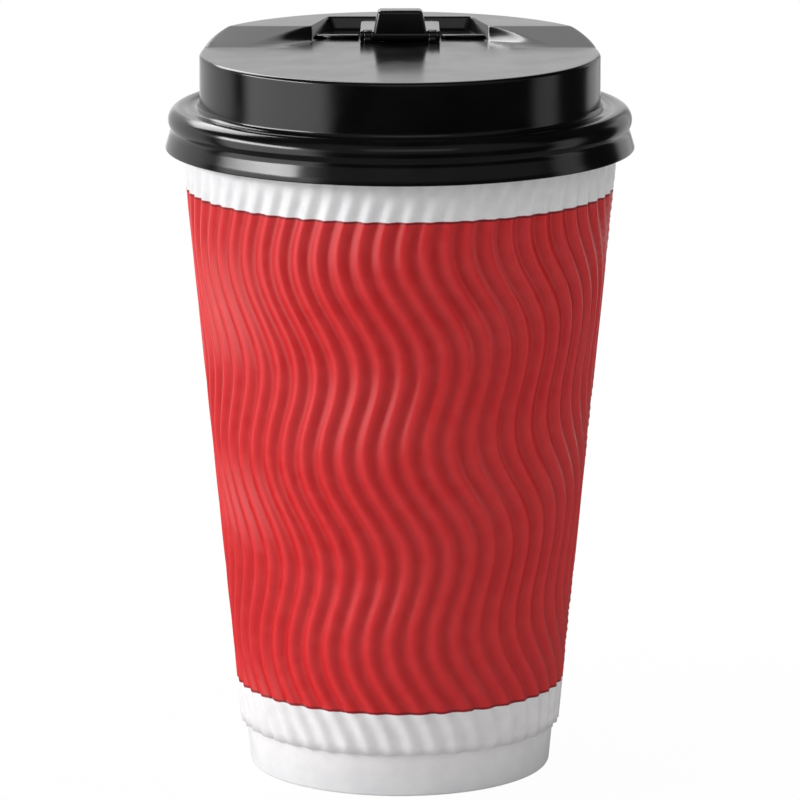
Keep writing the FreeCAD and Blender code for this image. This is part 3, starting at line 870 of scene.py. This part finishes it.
    def lug(self, side: int) -> BMesh:
        """Hinge lug with a round top, the right one for side 1 and the left one for -1."""
        sizes = self.sizes
        across = side * (sizes.lug_inside + sizes.lug_width / 2)
        foot = sizes.deck - sizes.wall / 2
        mesh = block((sizes.lug_width, 2 * sizes.lug_radius, sizes.axle_level - foot),
                     (across, sizes.axle_at, (sizes.axle_level + foot) / 2))
        axis = Vector((across, sizes.axle_at, sizes.axle_level))
        cap = rod(sizes.lug_radius, sizes.lug_width, axis, self.lug_round)
        soften(mesh, self.lug_round, steps=2, chosen=upright)
        return join([mesh, cap])

    def rib(self, side: int) -> BMesh:
        """Low rib across the slot's floor, the right one for side 1 and the left one for -1."""
        sizes = self.sizes
        start = sizes.tab_width / 2 + self.rib_gap
        height = self.rib_height + sizes.wall / 2
        middle = (side * (self.rib_end + start) / 2, self.rib_at + self.rib_depth / 2,
                  sizes.deck + self.rib_height - height / 2)
        mesh = block((self.rib_end - start, self.rib_depth, height), middle)
        soften(mesh, self.rib_round, steps=3,
               chosen=lambda edge: min(vert.co.z for vert in edge.verts) > sizes.deck)
        return mesh

    def build(self, plastic: bpy.types.Material) -> None:
        """Build the lid in its finish."""
        sizes = self.sizes
        outside = self.outline(0.0, self.rim_round, self.deck_rings)
        inside = self.outline(sizes.wall, self.inner_rim_round, self.inner_deck_rings)
        mesh = spin_outline(inside[::-1] + outside, self.columns, closed=False, turn=math.pi / 2)
        rims = self.cut_opening(mesh, sizes.deck) + self.cut_opening(mesh, sizes.deck - sizes.wall)
        bmesh.ops.bridge_loops(mesh, edges=rims)
        self.score_slot(mesh)
        wall_foot = sizes.ledge - self.gutter_depth + self.dome_root
        wall_top = sizes.deck - self.rim_round
        skin = sizes.dome_radius - sizes.wall / 2
        for vert in mesh.verts:
            on_deck = vert.co.z > sizes.deck - MERGE
            on_wall = vert.co.z > wall_foot and vert.co.xy.length > skin - self.rim_round
            if on_deck or (on_wall and (vert.co.xy.length > skin or vert.co.z > wall_top + MERGE)):
                share = min((vert.co.z - wall_foot) / (wall_top - wall_foot), 1.0)
                vert.co.z += share * self.relief(vert.co.x, vert.co.y)
        mesh = join([mesh, self.lug(1), self.lug(-1), self.rib(1), self.rib(-1)])
        piece = make_piece("lid_shell", mesh, Body.CUP, "lid", plastic)
        self.smooth_deck(piece.data)

    def smooth_deck(self, data: bpy.types.Mesh) -> None:
        """Give the points of the lid's deck the relief's own normals."""
        sizes, probe = self.sizes, self.probe
        normals = []
        for vert in data.vertices:
            x, y, z = vert.co
            outside = math.hypot(x, y) > sizes.dome_radius - self.rim_round - MERGE
            steep = vert.normal.z < self.least_normal
            if outside or steep or abs(z - sizes.deck - self.relief(x, y)) > MERGE:
                normals.append((0.0, 0.0, 0.0))
                continue
            tilt_x = (self.relief(x + probe, y) - self.relief(x - probe, y)) / (2 * probe)
            tilt_y = (self.relief(x, y + probe) - self.relief(x, y - probe)) / (2 * probe)
            normals.append(tuple(Vector((-tilt_x, -tilt_y, 1)).normalized()))
        data.normals_split_custom_set_from_vertices(normals)


@dataclass
class FlipTab:
    """Flip tab: knuckle, plate, cross pin, thumb block and the plug under the plate."""

    sizes: LidSizes
    knuckle_radius: float = 1.05 * MM
    end: float = 27.9 * MM
    plate: float = 1.2 * MM
    corner: float = 1.6 * MM
    edge_round: float = 0.22 * MM
    block_width: float = 10.8 * MM
    block_top_width: float = 8.9 * MM
    block_front: float = 0.9 * MM
    block_depth: float = 5.2 * MM
    block_top_inset: float = 0.3 * MM
    block_height: float = 4.1 * MM
    block_round: float = 0.7 * MM
    plug_reach: float = 1.3 * MM
    plug_draft: float = math.radians(6)
    rod_round: float = 0.1 * MM
    pin_sides: int = 24
    sharp_from: float = 40.0

    @property
    def top(self) -> float:
        """Height of the plate's top."""
        return self.sizes.axle_level + self.knuckle_radius

    def plate_mesh(self) -> BMesh:
        """Plate with rounded rear corners and a notch for each lug."""
        sizes = self.sizes
        half, front = sizes.tab_width / 2, sizes.axle_at
        inner, outer = sizes.notch
        clear = sizes.axle_at + sizes.lug_radius + sizes.lug_gap
        right = [(inner, front), (inner, clear), (outer, clear), (outer, front), (half, front),
                 (half, self.end)]
        left = [(-x, y) for x, y in reversed(right)]
        mesh = slab(right + left, self.top - self.plate, self.top)
        soften(mesh, self.corner, steps=8,
               chosen=lambda edge: upright(edge) and edge.verts[0].co.y > self.end - MERGE)
        soften(mesh, self.edge_round, steps=3,
               chosen=lambda edge: not upright(edge) and edge.calc_face_angle(0) > SHARP
               and max(vert.co.y for vert in edge.verts) > clear + MERGE)
        return mesh

    def hinge_meshes(self) -> list[BMesh]:
        """Knuckle between the lugs, an ear outside each, and the pin through them all."""
        sizes = self.sizes
        inner, outer = sizes.notch
        ear = sizes.tab_width / 2 - outer
        axis = Vector((0, sizes.axle_at, sizes.axle_level))
        beside = Vector(((sizes.tab_width - ear) / 2, 0, 0))
        pin_length = sizes.tab_width - 2 * sizes.lug_gap
        return [
            rod(self.knuckle_radius, 2 * inner, axis, self.rod_round),
            rod(self.knuckle_radius, ear, axis + beside, self.rod_round),
            rod(self.knuckle_radius, ear, axis - beside, self.rod_round),
            rod(sizes.axle_radius, pin_length, axis, self.rod_round, self.pin_sides),
        ]

    def block_mesh(self) -> BMesh:
        """Thumb block, narrower at its top."""
        foot = self.top - self.plate / 2
        height = self.block_height + self.plate / 2
        middle = self.sizes.axle_at - self.block_front + self.block_depth / 2
        centre = Vector((0, middle, foot + height / 2))
        mesh = block((self.block_width, self.block_depth, height), centre)
        upper = [vert for vert in mesh.verts if vert.co.z > centre.z]
        shrink = Vector((self.block_top_width / self.block_width,
                         1 - 2 * self.block_top_inset / self.block_depth, 1))
        bmesh.ops.scale(mesh, vec=shrink, verts=upper, space=Matrix.Translation((0, -middle, 0)))
        soften(mesh, self.block_round, steps=5,
               chosen=lambda edge: max(vert.co.z for vert in edge.verts) > centre.z)
        return mesh

    def plug_mesh(self) -> BMesh:
        """Tapered plug with round ends."""
        sizes = self.sizes
        top = self.top - self.plate + self.edge_round
        bottom = sizes.deck - self.plug_reach
        mesh = block((sizes.plug_length, sizes.plug_width, top - bottom),
                     (0, sizes.plug_at, (top + bottom) / 2))
        soften(mesh, sizes.plug_width / 2 - 2 * MERGE, steps=12, chosen=upright)
        lower = [vert for vert in mesh.verts if vert.co.z < bottom + MERGE]
        narrow = (top - bottom) * math.tan(self.plug_draft)
        shrink = Vector((1 - 2 * narrow / sizes.plug_length, 1 - 2 * narrow / sizes.plug_width, 1))
        bmesh.ops.scale(mesh, vec=shrink, verts=lower, space=Matrix.Translation((0, -sizes.plug_at, 0)))
        rim = bottom + MERGE
        soften(mesh, self.edge_round, steps=2, chosen=lambda edge: max(vert.co.z for vert in edge.verts) < rim)
        return mesh

    def build(self, plastic: bpy.types.Material) -> None:
        """Build the tab in its finish."""
        mesh = join([self.plate_mesh(), self.block_mesh(), self.plug_mesh(), *self.hinge_meshes()])
        make_piece("flip_tab", mesh, Body.TAB, "lid_tab", plastic, self.sharp_from)


@dataclass(frozen=True)
class Patch:
    """A light patch of the room that glossy faces mirror, its angles in degrees."""

    azimuth: float
    half_width: float
    fade: float
    level: float
    top: float = 16.0
    bottom: float = -80.0
    edge: float = 10.0

    def strength(self, wiring: Wiring, towards: NodeSocket, height: NodeSocket) -> NodeSocket:
        """Light from a direction.

        Args:
            wiring: Where the nodes go.
            towards: Level direction of length 1.
            height: Sine of the direction's elevation.

        Returns:
            The patch's share of the light.
        """
        turn = math.radians(self.azimuth)
        facing = wiring.vector("DOT_PRODUCT", towards, (math.sin(turn), -math.cos(turn), 0.0))["Value"]
        inner = math.cos(math.radians(self.half_width))
        outer = math.cos(math.radians(self.half_width + self.fade))
        across = wiring.rise(facing, outer, inner, 0.0, self.level)
        above, below = (wiring.rise(height, math.sin(math.radians(start)),
                                    math.sin(math.radians(start + self.edge)))
                        for start in (self.bottom, self.top))
        return wiring.calc("MULTIPLY", across, wiring.calc("SUBTRACT", above, below))


@dataclass(frozen=True)
class Lamp:
    """A soft lamp that points at a place on the cup."""

    name: str
    place: Point
    height: float
    width: float
    tall: float
    power: float

    def build(self, target: Vector) -> None:
        """Hang the lamp and aim it."""
        data = bpy.data.lights.new(self.name, "AREA")
        data.shape = "RECTANGLE"
        data.size = self.width
        data.size_y = self.tall
        data.energy = self.power
        lamp = bpy.data.objects.new(self.name, data)
        lamp.location = (*self.place, self.height)
        lamp.rotation_euler = (target - lamp.location).to_track_quat("-Z", "Y").to_euler()
        bpy.context.scene.collection.objects.link(lamp)


@dataclass
class Studio:
    """White floor and backdrop, soft lamps and the camera."""

    floor_radius: float = 0.3
    floor_sides: int = 96
    floor_fade: Span = (0.1, 0.9)
    floor_gap: float = 0.02 * MM
    floor_colour: Colour = (0.80, 0.80, 0.80, 1.0)
    glow_near: float = 0.97
    floor_gloss: float = 0.06
    gloss_share: float = 0.85
    ambient: float = 0.52
    room_level: float = 0.02
    patches: tuple[Patch, ...] = (
        Patch(azimuth=-70.0, half_width=22.0, fade=12.0, level=1.8),
        Patch(azimuth=-140.0, half_width=22.0, fade=14.0, level=0.75),
        Patch(azimuth=180.0, half_width=8.0, fade=8.0, level=0.95, top=38.0),
        Patch(azimuth=92.0, half_width=3.0, fade=10.0, level=0.60),
        Patch(azimuth=150.0, half_width=8.0, fade=10.0, level=0.75),
        Patch(azimuth=0.0, half_width=70.0, fade=15.0, level=0.16, top=70.0, bottom=4.0),
    )
    camera_place: tuple[float, float, float] = (0.0, -1.2, 0.327)
    camera_pitch: float = 0.2076
    camera_lens: float = 274.4
    camera_sensor: float = 36.0
    lamps: tuple[Lamp, ...] = (
        Lamp("key_lamp", (-1.00, -0.22), 0.50, 0.95, 0.22, 8.4),
        Lamp("back_lamp", (-0.50, 0.92), 0.92, 0.85, 0.60, 9.0),
        Lamp("front_lamp", (0.10, -1.00), 0.95, 0.90, 0.40, 0.6),
    )

    def floor_material(self) -> bpy.types.Material:
        """White that takes the cup's shadow and fades into the backdrop."""
        material = bpy.data.materials.new("white_floor")
        material.use_nodes = True
        wiring = Wiring(material.node_tree)
        diffuse = wiring.add("ShaderNodeBsdfDiffuse")
        diffuse.inputs["Color"].default_value = self.floor_colour
        glow = wiring.add("ShaderNodeEmission")
        glow.inputs["Color"].default_value = WHITE
        length = wiring.vector("LENGTH", wiring.place())["Value"]
        near, far = (share * self.floor_radius for share in self.floor_fade)
        fade = wiring.rise(length, near, far, self.glow_near, 1.0)
        rays = wiring.add("ShaderNodeLightPath")
        camera, glossy = rays.outputs["Is Camera Ray"], rays.outputs["Is Glossy Ray"]
        wiring.feed(glow.inputs["Strength"], wiring.calc("MAXIMUM", camera, self.floor_gloss))
        mix = wiring.add("ShaderNodeMixShader")
        glowing = wiring.calc("MAXIMUM", wiring.calc("MULTIPLY", fade, camera),
                              wiring.calc("MULTIPLY", glossy, self.gloss_share))
        for socket, source in zip(mix.inputs, (glowing, diffuse.outputs["BSDF"], glow.outputs["Emission"])):
            wiring.feed(socket, source)
        output = wiring.add("ShaderNodeOutputMaterial")
        wiring.feed(output.inputs["Surface"], mix.outputs["Shader"])
        return material

    def lay_floor(self) -> None:
        """Lay a round floor."""
        mesh = bmesh.new()
        bmesh.ops.create_circle(mesh, cap_ends=True, segments=self.floor_sides, radius=self.floor_radius,
                                matrix=Matrix.Translation((0, 0, -self.floor_gap)))
        add_object("floor", mesh, self.floor_material())

    def light_world(self) -> None:
        """White backdrop for the camera, even ambient light, a dark room with light patches for gloss."""
        world = bpy.data.worlds.new("studio")
        world.use_nodes = True
        bpy.context.scene.world = world
        wiring = Wiring(world.node_tree)
        towards = wiring.add("ShaderNodeTexCoord").outputs["Generated"]
        flat = wiring.vector("MULTIPLY", towards, (1.0, 1.0, 0.0))["Vector"]
        level = wiring.vector("NORMALIZE", flat)["Vector"]
        split = wiring.add("ShaderNodeSeparateXYZ")
        wiring.feed(split.inputs["Vector"], towards)
        room = self.room_level
        for patch in self.patches:
            light = patch.strength(wiring, level, split.outputs["Z"])
            room = wiring.calc("ADD", light, room)
        rays = wiring.add("ShaderNodeLightPath")
        seen = wiring.calc("MAXIMUM", rays.outputs["Is Camera Ray"], rays.outputs["Is Transmission Ray"])
        glossy = rays.outputs["Is Glossy Ray"]
        plain = wiring.calc("MULTIPLY", wiring.calc("SUBTRACT", 1.0, seen),
                            wiring.calc("SUBTRACT", 1.0, glossy))
        unseen = wiring.calc("ADD", wiring.calc("MULTIPLY", glossy, room),
                             wiring.calc("MULTIPLY", plain, self.ambient))
        strength = wiring.calc("ADD", seen, unseen)
        background = wiring.add("ShaderNodeBackground")
        background.inputs["Color"].default_value = WHITE
        wiring.feed(background.inputs["Strength"], strength)
        output = wiring.add("ShaderNodeOutputWorld")
        wiring.feed(output.inputs["Surface"], background.outputs["Background"])

    def set_camera(self) -> None:
        """Place the camera as the photograph's."""
        data = bpy.data.cameras.new("camera")
        data.sensor_width = self.camera_sensor
        data.lens = self.camera_lens
        camera = bpy.data.objects.new("camera", data)
        camera.location = self.camera_place
        camera.rotation_euler = (math.pi / 2 - self.camera_pitch, 0.0, 0.0)
        bpy.context.scene.collection.objects.link(camera)
        bpy.context.scene.camera = camera

    def build(self, target: Vector) -> None:
        """Set up floor, light and camera, with the lamps aimed at a target."""
        bpy.context.scene.view_settings.view_transform = "Standard"
        self.lay_floor()
        self.light_world()
        for lamp in self.lamps:
            lamp.build(target)
        self.set_camera()


def main() -> None:
    """Build the cup, its lid and the studio."""
    logging.basicConfig(level=logging.INFO, format="%(name)s: %(message)s")
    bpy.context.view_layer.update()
    cone = Cone()
    sizes = LidSizes(cone)
    board = CoatedBoard().material()
    plastic = GlossPlastic().material()
    PaperCup(cone).build(board)
    RippleWrap(cone).build(PrintedRipple().material())
    PressOnLid(sizes).build(plastic)
    FlipTab(sizes).build(plastic)
    Studio().build(Vector((0, 0, cone.height / 2)))


if __name__ == "__main__":
    main()
